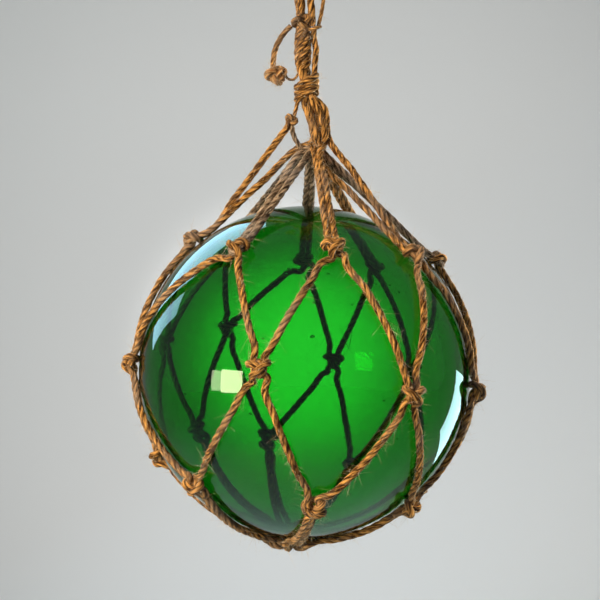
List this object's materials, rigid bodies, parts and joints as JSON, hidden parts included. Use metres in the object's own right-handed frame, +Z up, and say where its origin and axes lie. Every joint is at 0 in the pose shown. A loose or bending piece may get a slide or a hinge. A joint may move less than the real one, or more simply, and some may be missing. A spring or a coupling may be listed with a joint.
{
  "type": "netted glass fishing float",
  "caption": "Round green blown glass float held in a hand-knotted net of laid natural rope, hanging from a hook by the eye of its own rope.",
  "frame": {"origin": "the point inside the top of the rope's eye that bears on the hook", "axes": "+Z up, with the ball hanging plumb below the origin; -Y is the side that faces the viewer; +X to the viewer's right"},
  "size_m": [0.2723, 0.2693, 0.4667],
  "materials": {
    "glass": "clear green blown glass, gloss, with fine seeds and swirls",
    "rope": "golden-brown three-strand natural fibre rope, matt and hairy",
    "frayed_rope": "pale frayed natural fibre"
  },
  "bodies": {
    "root": {"glass_ball": "glass", "rope_net": "rope", "hanging_rope": "rope", "hanging_loop": "rope", "hanging_loop_thin": "rope", "side_tail": "rope", "side_tail_knot": "frayed_rope"}
  },
  "joints": []
}
